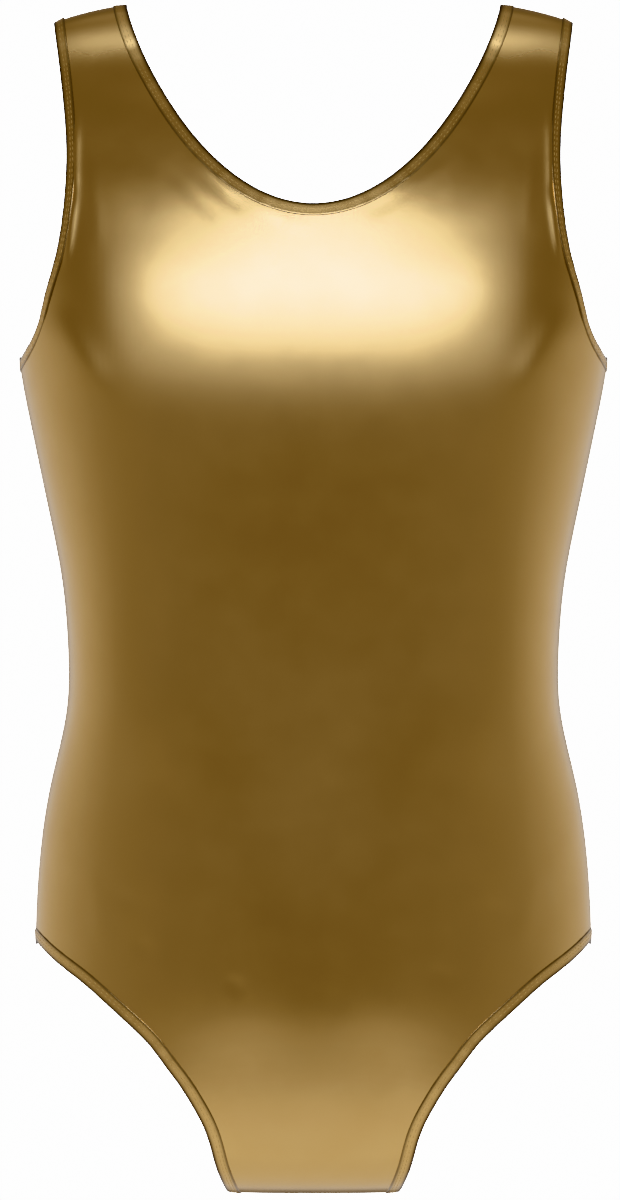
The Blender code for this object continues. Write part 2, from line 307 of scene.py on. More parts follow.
def tabled_edge(side, first, rows, last, count):
    """A finished edge on one side, from its table and its two end points in the front view."""
    column = 1 if side == FRONT else 2
    ladder = [first] + [(row[0], row[column]) for row in rows] + [last]
    heights = np.array([row[0] for row in reversed(ladder)])
    offsets = np.array([row[1] for row in reversed(ladder)])
    offset_at = smooth_curve(heights, offsets, level_ends=False)
    places = []
    for i in range(FINE_STEPS + 1):
        t = i / FINE_STEPS
        z = first[0] + (last[0] - first[0]) * t * t * (3 - 2 * t)
        places.append(place_seen_in_front(side, offset_at(z), z))
    return even_places(side, places, count)


def armhole_edge(side):
    """The finished armhole edge on one side, from the shoulder seam to the underarm."""
    seam_angle = round_angle_at(0, STRAP_OUTER_HALF_WIDTH)
    top = (form_point(side, 0, seam_angle).z, STRAP_OUTER_HALF_WIDTH)
    underarm_down = place_seen_in_front(side, 0.0, UNDERARM_HEIGHT)[0]
    underarm = (UNDERARM_HEIGHT, half_width_at(underarm_down))
    return tabled_edge(side, top, ARMHOLE_EDGE, underarm, ARMHOLE_STEPS)


def leg_edge(side):
    """The finished leg edge on one side, from the hip corner to the crotch seam."""
    hip_down = place_seen_in_front(side, 0.0, HIP_CORNER_HEIGHT)[0]
    hip = (HIP_CORNER_HEIGHT, half_width_at(hip_down))
    crotch_angle = round_angle_at(CLOTH_LENGTH, CROTCH_HALF_WIDTH)
    crotch = (form_point(side, CLOTH_LENGTH, crotch_angle).z, CROTCH_HALF_WIDTH)
    return tabled_edge(side, hip, LEG_EDGE, crotch, LEG_STEPS)


def edge_frames(places, closed, turn):
    """For each place on an edge: its point, the outward direction, and the way into the cloth."""
    points = [form_point(*place) for place in places]
    count = len(points)
    frames = []
    for i, place in enumerate(places):
        if closed:
            along = points[(i + 1) % count] - points[i - 1]
        elif i in (0, count - 1):
            along = Vector((-1, 0, 0)) * (1 if i else -1)
        else:
            along = points[i + 1] - points[i - 1]
        normal = form_normal(*place)
        frames.append((points[i], normal, turn * normal.cross(along).normalized()))
    return frames


neck_places = neck_edge(BACK, NECK_ROWS[BACK])[::-1] + neck_edge(FRONT, NECK_ROWS[FRONT])[1:]
armhole_places = armhole_edge(FRONT) + armhole_edge(BACK)[-2:0:-1]
leg_places = leg_edge(FRONT) + leg_edge(BACK)[-2:0:-1]
neck_frames = edge_frames(neck_places, closed=False, turn=1)
armhole_frames = edge_frames(armhole_places, closed=True, turn=-1)
leg_frames = edge_frames(leg_places, closed=True, turn=-1)


def side_seam_angle(side, down):
    """The angle at which a panel stops short of the side seam."""
    return QUARTER_TURN - SEAM_GAP / 2 / depth_at[side](down)


def panel_edge(side, frames):
    """Where a panel ends, tucked in a little under its band."""
    limit = CLOTH_LENGTH - SEAM_GAP / 2
    places = []
    for point, _, inward in frames:
        down, angle = place_of_point(side, point + inward * (BAND_WIDTH - TUCK))
        down = min(max(down, SEAM_GAP / 2), limit)
        places.append((down, min(angle, side_seam_angle(side, down))))
    return places


def between(start, end, t):
    """The place a part of the way from one place on the form to another."""
    return start[0] + (end[0] - start[0]) * t, start[1] + (end[1] - start[1]) * t


def places_between(start, end, count):
    """A straight run of places, both ends included."""
    return [between(start, end, i / count) for i in range(count + 1)]


GIRTH_ROWS = 90
GIRTH_COLUMNS = 48


def girth_table(side):
    """The length of cloth round the form from the middle, over the distance down and angle."""
    downs = np.linspace(0, CLOTH_LENGTH, GIRTH_ROWS)
    angles = np.linspace(0, QUARTER_TURN, GIRTH_COLUMNS)
    table = np.zeros((GIRTH_ROWS, GIRTH_COLUMNS))
    for i, down in enumerate(downs):
        points = [form_point(side, down, angle) for angle in angles]
        steps = [(after - before).length for before, after in zip(points, points[1:])]
        table[i, 1:] = np.cumsum(steps)
    return angles, table


def laid_flat(girths, down, round_angle):
    """Where a place on the form lies on the knit before it was stretched: the UV map."""
    angles, table = girths
    row = down / CLOTH_LENGTH * (GIRTH_ROWS - 1)
    i = min(int(row), GIRTH_ROWS - 2)
    near = np.interp(abs(round_angle), angles, table[i])
    far = np.interp(abs(round_angle), angles, table[i + 1])
    around = near + (far - near) * (row - i)
    return math.copysign(around, round_angle), down


GRID_HALF = 0.5


def shaped_grid(columns, rows, place_at, lift):
    """A grid held off the form by a lift, each point keeping its place and its way out."""
    shape = bmesh.new()
    bmesh.ops.create_grid(shape, x_segments=columns, y_segments=rows, size=GRID_HALF)
    down_layer = shape.verts.layers.float.new("down")
    angle_layer = shape.verts.layers.float.new("round_angle")
    outward_layer = shape.verts.layers.float_vector.new("outward")
    for vertex in shape.verts:
        column = round((vertex.co.x + GRID_HALF) * columns)
        row = round((vertex.co.y + GRID_HALF) * rows)
        side, down, angle = place_at(column, row)
        outward = form_normal(side, down, angle)
        vertex[down_layer] = down
        vertex[angle_layer] = angle
        vertex[outward_layer] = outward
        vertex.co = form_point(side, down, angle) + outward * lift
    return shape


def add_shape(shape, other):
    """Put a second shape's faces into the first."""
    mesh = bpy.data.meshes.new("joined")
    other.to_mesh(mesh)
    other.free()
    shape.from_mesh(mesh)
    bpy.data.meshes.remove(mesh)


# Soft creases as seen from the front: start x and z, end x and z, depth (a minus depth is a
# ridge), and half widths on the left and on the right of someone walking from start to end
FRONT_CREASES = (
    (-0.1350, -0.1540, -0.1070, -0.2000, -0.00132, 0.0074, 0.0150),
    (0.1318, -0.1540, 0.1044, -0.1990, -0.00128, 0.0150, 0.0074),
    (-0.1222, -0.0520, -0.1222, -0.0980, -0.00092, 0.0019, 0.0018),
    (-0.1222, -0.0930, -0.1272, -0.1330, -0.00082, 0.0020, 0.0018),
    (0.1218, -0.0500, 0.1217, -0.0960, -0.00088, 0.0018, 0.0019),
    (0.1216, -0.0920, 0.1266, -0.1310, -0.00080, 0.0018, 0.0020),
    (-0.1140, -0.0740, -0.1100, -0.1230, -0.00016, 0.0036, 0.0030),
    (0.1136, -0.0660, 0.1092, -0.1150, -0.00014, 0.0030, 0.0036),
    (-0.0790, -0.0790, -0.0480, -0.1110, 0.00016, 0.0036, 0.0030),
    (-0.0640, -0.0730, -0.0370, -0.0990, -0.00024, 0.0024, 0.0030),
    (-0.0580, -0.0850, -0.0340, -0.1060, 0.00022, 0.0036, 0.0030),
    (-0.0300, -0.1010, -0.0020, -0.1150, -0.00012, 0.0026, 0.0030),
    (0.0740, -0.0680, 0.0450, -0.0960, 0.00018, 0.0030, 0.0032),
    (0.0640, -0.0810, 0.0370, -0.1000, -0.00020, 0.0030, 0.0026),
    (0.0520, -0.0900, 0.0280, -0.1080, 0.00018, 0.0030, 0.0036),
    (-0.1050, -0.4560, -0.0830, -0.4640, 0.00022, 0.0050, 0.0040),
    (-0.0910, -0.4790, -0.0830, -0.4870, 0.00028, 0.0034, 0.0030),
    (-0.0460, -0.4985, -0.0350, -0.5050, 0.00022, 0.0040, 0.0034),
    (0.0880, -0.4590, 0.1070, -0.4710, 0.00022, 0.0044, 0.0050),
    (0.0590, -0.4930, 0.0740, -0.5020, 0.00020, 0.0040, 0.0040),
    (-0.1160, -0.4400, -0.1060, -0.4880, -0.00018, 0.0050, 0.0050),
    (0.1150, -0.4440, 0.1050, -0.4880, -0.00016, 0.0050, 0.0060),
)
BACK_CREASES = (
    (-0.1340, -0.1540, -0.1060, -0.2010, -0.00080, 0.0050, 0.0130),
    (0.1330, -0.1550, 0.1040, -0.2000, -0.00085, 0.0130, 0.0050),
    (-0.1200, -0.0500, -0.1190, -0.1180, -0.00036, 0.0018, 0.0018),
    (0.1198, -0.0480, 0.1188, -0.1150, -0.00036, 0.0018, 0.0018),
    (-0.0680, -0.1280, -0.0400, -0.1640, 0.00030, 0.0036, 0.0030),
    (-0.0510, -0.1420, -0.0160, -0.1740, -0.00026, 0.0030, 0.0036),
    (0.0660, -0.1240, 0.0370, -0.1600, 0.00028, 0.0030, 0.0036),
    (0.0480, -0.1450, 0.0120, -0.1770, -0.00026, 0.0036, 0.0030),
    (-0.0520, -0.3180, 0.0460, -0.3230, 0.00050, 0.0070, 0.0060),
    (-0.0360, -0.3380, 0.0580, -0.3330, 0.00040, 0.0060, 0.0060),
    (-0.0900, -0.5120, -0.0380, -0.5380, 0.00045, 0.0050, 0.0060),
    (0.0880, -0.5100, 0.0360, -0.5370, 0.00045, 0.0060, 0.0050),
)
CREASES = {FRONT: FRONT_CREASES, BACK: BACK_CREASES}
BELLY = {FRONT: Vector((0, -0.09, -0.35)), BACK: Vector((0, 0.09, -0.35))}

# A crease is deepest at its middle and fades out a little past its ends
CREASE_REACH = 0.8
CREASE_FADE = 0.42

# The cloth dips into its seams
SEAM_DIP = 0.00045
SEAM_DIP_WIDTH = 0.0016


def crease_lift(side, point):
    """How far the creases move a point of the cloth out."""
    lift = 0.0
    for start_x, start_z, end_x, end_z, depth, left_width, right_width in CREASES[side]:
        run_x = end_x - start_x
        run_z = end_z - start_z
        length = math.hypot(run_x, run_z)
        along = ((point.x - start_x) * run_x + (point.z - start_z) * run_z) / length ** 2
        from_middle = along - 0.5
        if abs(from_middle) < CREASE_REACH:
            off = ((point.z - start_z) * run_x - (point.x - start_x) * run_z) / length
            half_width = left_width if off > 0 else right_width
            fade = math.exp(-(from_middle / CREASE_FADE) ** 4)
            lift -= depth * fade * math.exp(-(off / half_width) ** 2)
    return lift


def seam_dip(side, down, round_angle):
    """How far the cloth dips next to a shoulder, side or crotch seam."""
    to_side = (QUARTER_TURN - abs(round_angle)) * depth_at[side](down)
    to_seam = min(to_side, down, CLOTH_LENGTH - down)
    return SEAM_DIP * math.exp(-(to_seam / SEAM_DIP_WIDTH) ** 2)


def make_panel_shape(side, edges):
    """A whole panel as one open sheet: its left half on the form, its right half, and creases."""
    neck, armhole, leg = (panel_edge(side, frames) for frames in edges)
    underarm = armhole[UPPER_ROWS:]
    hip = leg[SIDE_COLUMNS::-1]
    divide = places_between(underarm[0], hip[0], SIDE_ROWS)
    downs = np.linspace(underarm[-1][0], hip[-1][0], SIDE_ROWS + 1)
    seam = [(down, side_seam_angle(side, down)) for down in downs]
    outer = armhole[:UPPER_ROWS] + divide + leg[SIDE_COLUMNS + 1:]
    crotch = (CLOTH_LENGTH - SEAM_GAP / 2, 0.0)
    inner = neck[:-1] + places_between(neck[-1], crotch, PANEL_ROWS + 1 - len(neck))

    def middle_place(column, row):
        return (side, *between(inner[row], outer[row], column / MIDDLE_COLUMNS))

    def side_place(column, row):
        across = column / SIDE_COLUMNS
        fall = row / SIDE_ROWS
        level = between(divide[row], seam[row], across)
        arc = between(underarm[column], hip[column], fall)
        top = between(underarm[0], underarm[-1], across)
        bottom = between(hip[0], hip[-1], across)
        flat = between(top, bottom, fall)
        return (side, *(a + b - c for a, b, c in zip(level, arc, flat)))

    shape = shaped_grid(MIDDLE_COLUMNS, PANEL_ROWS, middle_place, OUTER_LIFT)
    add_shape(shape, shaped_grid(SIDE_COLUMNS, SIDE_ROWS, side_place, OUTER_LIFT))
    bmesh.ops.remove_doubles(shape, verts=shape.verts, dist=MERGE_DISTANCE)
    bmesh.ops.mirror(shape, geom=shape.verts[:] + shape.edges[:] + shape.faces[:],
                     axis="X", merge_dist=MERGE_DISTANCE)
    bmesh.ops.remove_doubles(shape, verts=shape.verts, dist=MERGE_DISTANCE)
    bmesh.ops.recalc_face_normals(shape, faces=shape.faces)
    middle = min(shape.faces, key=lambda face: (face.calc_center_median() - BELLY[side]).length)
    if middle.normal.y * side < 0:
        bmesh.ops.reverse_faces(shape, faces=shape.faces)
    angle_layer = shape.verts.layers.float["round_angle"]
    down_layer = shape.verts.layers.float["down"]
    outward_layer = shape.verts.layers.float_vector["outward"]
    for vertex in shape.verts:
        outward = Vector(vertex[outward_layer])
        outward.x = math.copysign(outward.x, vertex.co.x)
        dip = seam_dip(side, vertex[down_layer], vertex[angle_layer])
        vertex.co += outward * (crease_lift(side, vertex.co) - dip)
    return shape


def link_piece(name, shape, materials):
    """A finished shape as a smooth-shaded object at the origin, in its materials."""
    for edge in shape.edges:
        edge.smooth = not edge.is_boundary
    for face in shape.faces:
        face.smooth = True
    mesh = bpy.data.meshes.new(name)
    shape.to_mesh(mesh)
    shape.free()
    for material in materials:
        mesh.materials.append(material)
    piece = bpy.data.objects.new(name, mesh)
    bpy.context.scene.collection.objects.link(piece)
    return piece


def lay_uv(shape, girths):
    """The UV map of a panel, in metres of knit."""
    uv = shape.loops.layers.uv.new("knit")
    down_layer = shape.verts.layers.float["down"]
    angle_layer = shape.verts.layers.float["round_angle"]
    for vertex in shape.verts:
        angle = math.copysign(vertex[angle_layer], vertex.co.x)
        place = laid_flat(girths, vertex[down_layer], angle)
        for loop in vertex.link_loops:
            loop[uv].uv = place


def wire(tree, kind, inputs=(), **settings):
    """A node with its settings, and its inputs given as values or as other nodes' outputs."""
    node = tree.nodes.new(kind)
    for name, value in settings.items():
        setattr(node, name, value)
    for name, value in dict(inputs).items():
        if isinstance(value, bpy.types.NodeSocket):
            tree.links.new(value, node.inputs[name])
        else:
            node.inputs[name].default_value = value
    return node


MIX_COLOUR_SOCKETS = (6, 7)
MIX_RESULT = 2


def math_node(tree, operation, *values):
    """Arithmetic on one to three values, each a number or another node's output."""
    node = wire(tree, "ShaderNodeMath", operation=operation)
    for socket, value in zip(node.inputs, values):
        if isinstance(value, bpy.types.NodeSocket):
            tree.links.new(value, socket)
        else:
            socket.default_value = value
    return node.outputs[0]


def mixed_colour(tree, factor, *colours):
    """Two colours mixed by a pattern, each a colour or another node's output."""
    node = wire(tree, "ShaderNodeMix", {"Factor": factor}, data_type="RGBA")
    for i, colour in zip(MIX_COLOUR_SOCKETS, colours):
        if isinstance(colour, bpy.types.NodeSocket):
            tree.links.new(colour, node.inputs[i])
        else:
            node.inputs[i].default_value = colour
    return node.outputs[MIX_RESULT]


def noise(tree, place, scale, detail):
    """A cloudy pattern with so many patches a metre."""
    inputs = {"Vector": place, "Scale": scale, "Detail": detail}
    return wire(tree, "ShaderNodeTexNoise", inputs).outputs["Fac"]


def wave(tree, value, per_metre, shift=0.0):
    """A wave with so many turns a metre."""
    turn = math_node(tree, "MULTIPLY_ADD", value, 2 * math.pi * per_metre, shift)
    return math_node(tree, "SINE", turn)


def new_material(name):
    """A material, its node tree, its main shader and the place on the object."""
    material = bpy.data.materials.new(name)
    material.use_nodes = True
    tree = material.node_tree
    place = wire(tree, "ShaderNodeTexCoord").outputs["Object"]
    return material, tree, tree.nodes["Principled BSDF"], place


WALES_PER_METRE = 1500
COURSES_PER_METRE = 1900
LOOP_DEPTH = 0.000002


def knit_height(tree):
    """The loops of the knit as a height: wales along the body, courses bent round each wale."""
    place = wire(tree, "ShaderNodeUVMap", uv_map="knit")
    parts = wire(tree, "ShaderNodeSeparateXYZ", {"Vector": place.outputs["UV"]})
    wale = wave(tree, parts.outputs["X"], WALES_PER_METRE)
    course = wave(tree, parts.outputs["Y"], COURSES_PER_METRE, wale)
    return math_node(tree, "ADD", wale, course)


# The foil: its two shades, how many rubbed patches and soft waves it has a metre, how much
# duller it is where rubbed and on the strap tops, and the painted shade at the bands' edges
FOIL_COLOUR = (0.86, 0.60, 0.25, 1)
RUBBED_FOIL_COLOUR = (0.82, 0.555, 0.215, 1)
PAINTED_SHADE_COLOUR = (0.085, 0.045, 0.018, 1)
FOIL_ROUGHNESS = 0.22
RUBBED_PATCHES = 46.0
RUBBED_DETAIL = 4.0
RUBBED_RANGE = (0.3, 0.7)
RUBBED_DULLING = 0.025
SOFT_WAVES = 30.0
SOFT_DETAIL = 1.5
SOFT_RELIEF = 0.00004
STRAP_SCUFF = 0.15
SCUFF_START = -0.002
SCUFF_END = -0.034
CLEAR_SKIN = 0.35
CLEAR_SKIN_ROUGHNESS = 0.12


def foil_knit(name, roughness, relief):
    """Stretch knit with a gold foil face: a rubbed, slightly uneven foil under a clear skin."""
    material, tree, shader, place = new_material(name)
    rubbed = noise(tree, place, RUBBED_PATCHES, RUBBED_DETAIL)
    colour = mixed_colour(tree, rubbed, FOIL_COLOUR, RUBBED_FOIL_COLOUR)
    dull = wire(tree, "ShaderNodeMapRange", {"Value": rubbed, "From Min": RUBBED_RANGE[0],
                                             "From Max": RUBBED_RANGE[1],
                                             "To Min": roughness - RUBBED_DULLING,
                                             "To Max": roughness + RUBBED_DULLING})
    height = wire(tree, "ShaderNodeSeparateXYZ", {"Vector": place}).outputs["Z"]
    scuff = wire(tree, "ShaderNodeMapRange", {"Value": height, "To Max": STRAP_SCUFF,
                                              "From Min": SCUFF_END, "From Max": SCUFF_START},
                 interpolation_type="SMOOTHSTEP")
    rough = math_node(tree, "ADD", dull.outputs["Result"], scuff.outputs["Result"])
    soft = noise(tree, place, SOFT_WAVES, SOFT_DETAIL)
    waves = wire(tree, "ShaderNodeBump", {"Height": soft, "Distance": relief, "Strength": 1.0})
    loops = wire(tree, "ShaderNodeBump", {"Height": knit_height(tree), "Distance": LOOP_DEPTH,
                                          "Strength": 1.0, "Normal": waves.outputs["Normal"]})
    # Painted shade: the foil turns dark brown where a piece's attribute asks, standing in for the
    # shade along the bands' folded edges and in their grooves
    edge_shade = wire(tree, "ShaderNodeAttribute", attribute_name="edge_shade").outputs["Fac"]
    face = mixed_colour(tree, edge_shade, colour, PAINTED_SHADE_COLOUR)
    tree.links.new(face, shader.inputs["Base Color"])
    tree.links.new(rough, shader.inputs["Roughness"])
    tree.links.new(loops.outputs["Normal"], shader.inputs["Normal"])
    tree.links.new(waves.outputs["Normal"], shader.inputs["Coat Normal"])
    shader.inputs["Metallic"].default_value = 1.0
    shader.inputs["Coat Weight"].default_value = CLEAR_SKIN
    shader.inputs["Coat Roughness"].default_value = CLEAR_SKIN_ROUGHNESS
    return material


# The unfoiled face
INNER_COLOUR = (0.42, 0.28, 0.12, 1)
INNER_COLOUR_DEEP = (0.34, 0.215, 0.085, 1)
YARN_PATCHES = 90.0
YARN_DETAIL = 5.0
YARN_ROUGHNESS = 0.85
YARN_SHEEN = 0.25


def knit_back(name):
    """The unfoiled inner face of the knit: matt yarn with its loops, deeper than on the foil."""
    material, tree, shader, place = new_material(name)
    cloud = noise(tree, place, YARN_PATCHES, YARN_DETAIL)
    colour = mixed_colour(tree, cloud, INNER_COLOUR, INNER_COLOUR_DEEP)
    loops = wire(tree, "ShaderNodeBump", {"Height": knit_height(tree), "Strength": 1.0,
                                          "Distance": LOOP_DEPTH * 2})
    tree.links.new(colour, shader.inputs["Base Color"])
    tree.links.new(loops.outputs["Normal"], shader.inputs["Normal"])
    shader.inputs["Roughness"].default_value = YARN_ROUGHNESS
    shader.inputs["Sheen Weight"].default_value = YARN_SHEEN
    return material


foil = foil_knit("gold_foil_knit", FOIL_ROUGHNESS, SOFT_RELIEF)
inner_face = knit_back("knit_inner_face")

# The knit is cut smaller than the body: how much of the worn width and length is cut
CUT_ACROSS = 0.88
CUT_ALONG = 0.94


def make_panel(name, side, edges, node):
    """One panel as a shell with its foil out and its plain face in, and the size of its cut."""
    shape = make_panel_shape(side, edges)
    girths = girth_table(side)
    lay_uv(shape, girths)
    worn_area = sum(face.calc_area() for face in shape.faces)
    panel = link_piece(name, shape, (foil, inner_face))
    shell = panel.modifiers.new("shell", "SOLIDIFY")
    shell.thickness = SHELL_THICKNESS
    shell.offset = -1
    shell.material_offset = 1
    shell.material_offset_rim = 0
    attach(panel, "root")
    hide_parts(node)
    widest = 2 * girths[1][:, -1].max()
    cut = (float(widest) * CUT_ACROSS, CLOTH_LENGTH * CUT_ALONG)
    return panel, cut, worn_area * CUT_ACROSS * CUT_ALONG


front_edges = (neck_frames[NECK_ROWS[BACK]:], armhole_frames[:ARMHOLE_STEPS + 1],
               leg_frames[:LEG_STEPS + 1])
front, front_cut, front_area = make_panel("front_cloth", FRONT, front_edges, "front_panel")


# Back panel
# One piece of the same knit with a lower neck scoop, made as the front is. It is sewn to the
# front at the shoulders, down both sides and at the crotch.
back_edges = (neck_frames[NECK_ROWS[BACK]::-1],
              armhole_frames[:1] + armhole_frames[:ARMHOLE_STEPS - 1:-1],
              leg_frames[:1] + leg_frames[:LEG_STEPS - 1:-1])
back, back_cut, back_area = make_panel("back_cloth", BACK, back_edges, "back_panel")


# Seam allowances
# Inside the shoulder, side and crotch seams the two raw edges are pressed flat and overlocked
# together. They are a strip of the same knit, plain face in, sewn through both panels.
ALLOWANCE_WIDTH = 0.0070
ALLOWANCE_THICKNESS = 0.0006
ALLOWANCE_LIFT = 0.00052
ALLOWANCE_COLUMNS = 6
LOOPS_PER_METRE = 520
LOOP_RELIEF = 0.00025
OVERLOCK_COLOUR = (0.50, 0.345, 0.15, 1)
OVERLOCK_ROUGHNESS = 0.8


def overlock(name):
    """Overlocked edges: close thread loops over the plain face of the knit."""
    material, tree, shader, _ = new_material(name)
    place = wire(tree, "ShaderNodeUVMap", uv_map="knit")
    parts = wire(tree, "ShaderNodeSeparateXYZ", {"Vector": place.outputs["UV"]})
    loop = wave(tree, parts.outputs["Y"], LOOPS_PER_METRE)
    tint = wire(tree, "ShaderNodeMapRange", {"Value": loop, "From Min": -1.0, "From Max": 1.0})
    colour = mixed_colour(tree, tint.outputs["Result"], INNER_COLOUR_DEEP, OVERLOCK_COLOUR)
    raised = wire(tree, "ShaderNodeBump", {"Height": loop, "Strength": 1.0,
                                           "Distance": LOOP_RELIEF})
    tree.links.new(colour, shader.inputs["Base Color"])
    tree.links.new(raised.outputs["Normal"], shader.inputs["Normal"])
    shader.inputs["Roughness"].default_value = OVERLOCK_ROUGHNESS
    return material


overlocked = overlock("overlocked_edge")


def make_allowance(name, rows, place_at, length):
    """A strip over the inside of a seam, whose columns cross the seam and rows follow it."""
    shape = shaped_grid(ALLOWANCE_COLUMNS, rows, place_at, ALLOWANCE_LIFT)
    uv = shape.loops.layers.uv.new("knit")
    shape.verts.index_update()
    for vertex in shape.verts:
        row, column = divmod(vertex.index, ALLOWANCE_COLUMNS + 1)
        across = column / ALLOWANCE_COLUMNS * ALLOWANCE_WIDTH
        for loop in vertex.link_loops:
            loop[uv].uv = (across, row / rows * length)
    strip = link_piece(name, shape, (overlocked,))
    wall = strip.modifiers.new("wall", "SOLIDIFY")
    wall.thickness = ALLOWANCE_THICKNESS
    wall.offset = 0
    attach(strip, "root")


SIDE_SEAM_ROWS = 110
CROSS_SEAM_ROWS = 24
side_top = max(panel_edge(FRONT, armhole_frames[:ARMHOLE_STEPS + 1])[-1][0], SEAM_GAP)
side_end = panel_edge(FRONT, leg_frames[:1])[0][0]
strap_inner = panel_edge(FRONT, neck_frames[NECK_ROWS[BACK]:])[0][1]
strap_outer = panel_edge(FRONT, armhole_frames[:1])[0][1]
crotch_outer = panel_edge(FRONT, leg_frames[LEG_STEPS:LEG_STEPS + 1])[0][1]


def across_seam(column):
    """The side that a column of an allowance lies on, and its distance from the seam."""
    offset = (column / ALLOWANCE_COLUMNS - 0.5) * ALLOWANCE_WIDTH
    return (BACK if offset > 0 else FRONT), abs(offset)


for hand, flip in (("left", 1), ("right", -1)):

    def side_place(column, row, flip=flip):
        side, offset = across_seam(column)
        down = side_top + (side_end - side_top) * row / SIDE_SEAM_ROWS
        return side, down, flip * (QUARTER_TURN - offset / depth_at[side](down))

    def shoulder_place(column, row, flip=flip):
        side, offset = across_seam(column)
        angle = strap_inner + (strap_outer - strap_inner) * row / CROSS_SEAM_ROWS
        return side, offset, flip * angle

    make_allowance(f"side_seam_{hand}", SIDE_SEAM_ROWS, side_place, side_end - side_top)
    make_allowance(f"shoulder_seam_{hand}", CROSS_SEAM_ROWS, shoulder_place,
                   STRAP_OUTER_HALF_WIDTH - NECK_HALF_WIDTH)


def crotch_place(column, row):
    """The place on the form of a point of the crotch seam's allowance."""
    side, offset = across_seam(column)
    return side, CLOTH_LENGTH - offset, crotch_outer * (2 * row / CROSS_SEAM_ROWS - 1)


make_allowance("crotch_seam", CROSS_SEAM_ROWS, crotch_place, 2 * CROTCH_HALF_WIDTH)


# Neck band
# A folded strip of the same foil knit, turned over thin elastic round the raw neck edge. It
# rolls a little toward the opening and puckers finely where the elastic draws it in.

# Round the band's section: how far in from its outer edge, how far off the form, and how
# much painted shade darkens it, along its folded edges and in the groove by the panel. A band's
# fit is how many times wider it is than that, and how far its outer edge lies in from the form's
# edge.
BAND_PROFILE = (
    (0.00004, 0.00020, 1.0), (0.00000, 0.00070, 1.0), (0.00012, 0.00098, 1.0),
    (0.00040, 0.00118, 1.0), (0.00080, 0.00128, 0.9), (0.00140, 0.00136, 0.30),
    (0.00230, 0.00145, 0.0), (0.00340, 0.00155, 0.0), (0.00435, 0.00163, 0.15),
    (0.00472, 0.00167, 0.50), (0.00505, 0.00166, 0.65), (0.00522, 0.00160, 0.70),
    (0.00530, 0.00146, 0.75), (0.00530, 0.00100, 0.9), (0.00520, 0.00030, 1.0),
    (0.00440, -0.00025, 0.3), (0.00280, -0.00050, 0.2), (0.00120, -0.00040, 0.4),
)
NECK_BAND_FIT = (1.38, 0.0018)
PUCKER = 0.00005
PUCKER_LENGTHS = (0.0083, 0.0127)
TIP_REACH = 0.0021
TIP_LENGTH = 0.0045
BAND_FOIL_ROUGHNESS = 0.26


def edge_lengths(frames):
    """The distance along an edge from its first point to each point."""
    lengths = [0.0]
    for before, after in zip(frames, frames[1:]):
        lengths.append(lengths[-1] + (after[0] - before[0]).length)
    return lengths


def pucker_at(length):
    """The fine uneven rise and fall of an elasticated band."""
    waves = [math.sin(2 * math.pi * length / period) for period in PUCKER_LENGTHS]
    return PUCKER * sum(waves)


def band_point(frame, length, across, lift):
    """A point of a band, from its place in the band's section."""
    point, normal, inward = frame
    return point + inward * across + normal * (lift + pucker_at(length) * (lift > 0))


def make_band_shape(frames, closed, fit, tip, flip):
    """A band along one edge. At its tip, where its ends are joined, it reaches out a little."""
    wider, set_in = fit
    lengths = edge_lengths(frames)
    count = len(frames)
    sides = len(BAND_PROFILE)
    stations = count if closed else count - 1
    shape = bmesh.new()
    bmesh.ops.create_grid(shape, x_segments=stations, y_segments=sides, size=GRID_HALF)
    uv = shape.loops.layers.uv.new("knit")
    edge_shade_layer = shape.verts.layers.float.new("edge_shade")
    for vertex in shape.verts:
        station = round((vertex.co.x + GRID_HALF) * stations)
        around = round((vertex.co.y + GRID_HALF) * sides)
        length = lengths[station % count]
        reach = 0.0
        if closed:
            to_tip = abs(length - lengths[tip])
            to_tip = min(to_tip, lengths[-1] - to_tip)
            reach = TIP_REACH * math.exp(-(to_tip / TIP_LENGTH) ** 2)
        width, lift, edge_shade = BAND_PROFILE[around % sides]
        across = width * wider + set_in - reach
        place = band_point(frames[station % count], length, across, lift)
        # The third column of the section is painted shade, dark along the band's edges
        vertex[edge_shade_layer] = edge_shade
        vertex.co = (place.x * flip, place.y, place.z)
        along = lengths[-1] if station == count else length
        for loop in vertex.link_loops:
            loop[uv].uv = (around / sides * BAND_WIDTH * 2, along)
    bmesh.ops.remove_doubles(shape, verts=shape.verts, dist=MERGE_DISTANCE)
    if not closed:
        bmesh.ops.mirror(shape, geom=shape.verts[:] + shape.edges[:] + shape.faces[:],
                         axis="X", merge_dist=MERGE_DISTANCE)
        bmesh.ops.remove_doubles(shape, verts=shape.verts, dist=MERGE_DISTANCE)
    bmesh.ops.recalc_face_normals(shape, faces=shape.faces)
    return shape


band_foil = foil_knit("gold_foil_band", BAND_FOIL_ROUGHNESS, SOFT_RELIEF / 2)


def make_band(name, frames, closed, node, fit, tip=0, flip=1):
    """One finished band in the place of its solid."""
    band = link_piece(name, make_band_shape(frames, closed, fit, tip, flip), (band_foil,))
    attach(band, "root")
    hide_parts(node)
    return band


neck_band = make_band("neck_band", neck_frames, False, "neck_binding", NECK_BAND_FIT)


# Armhole bands
# The same folded strip round each armhole. Its ends meet under the arm, where the join makes
# a small tip that stands out past the side seam.
ARMHOLE_BAND_FIT = (1.18, 0.0010)
armhole_bands = [
    make_band(f"armhole_band_{hand}", armhole_frames, True, f"armhole_binding_{hand}",
              ARMHOLE_BAND_FIT, tip=ARMHOLE_STEPS, flip=flip)
    for hand, flip in (("left", 1), ("right", -1))
]


# Leg bands
# The same strip round each high-cut leg opening, joined at the hip end of the side seam. It
# is a little wider here, and lies flat on the hip.
LEG_BAND_FIT = (1.38, 0.0006)
leg_bands = [
    make_band(f"leg_band_{hand}", leg_frames, True, f"leg_binding_{hand}", LEG_BAND_FIT,
              flip=flip)
    for hand, flip in (("left", 1), ("right", -1))
]


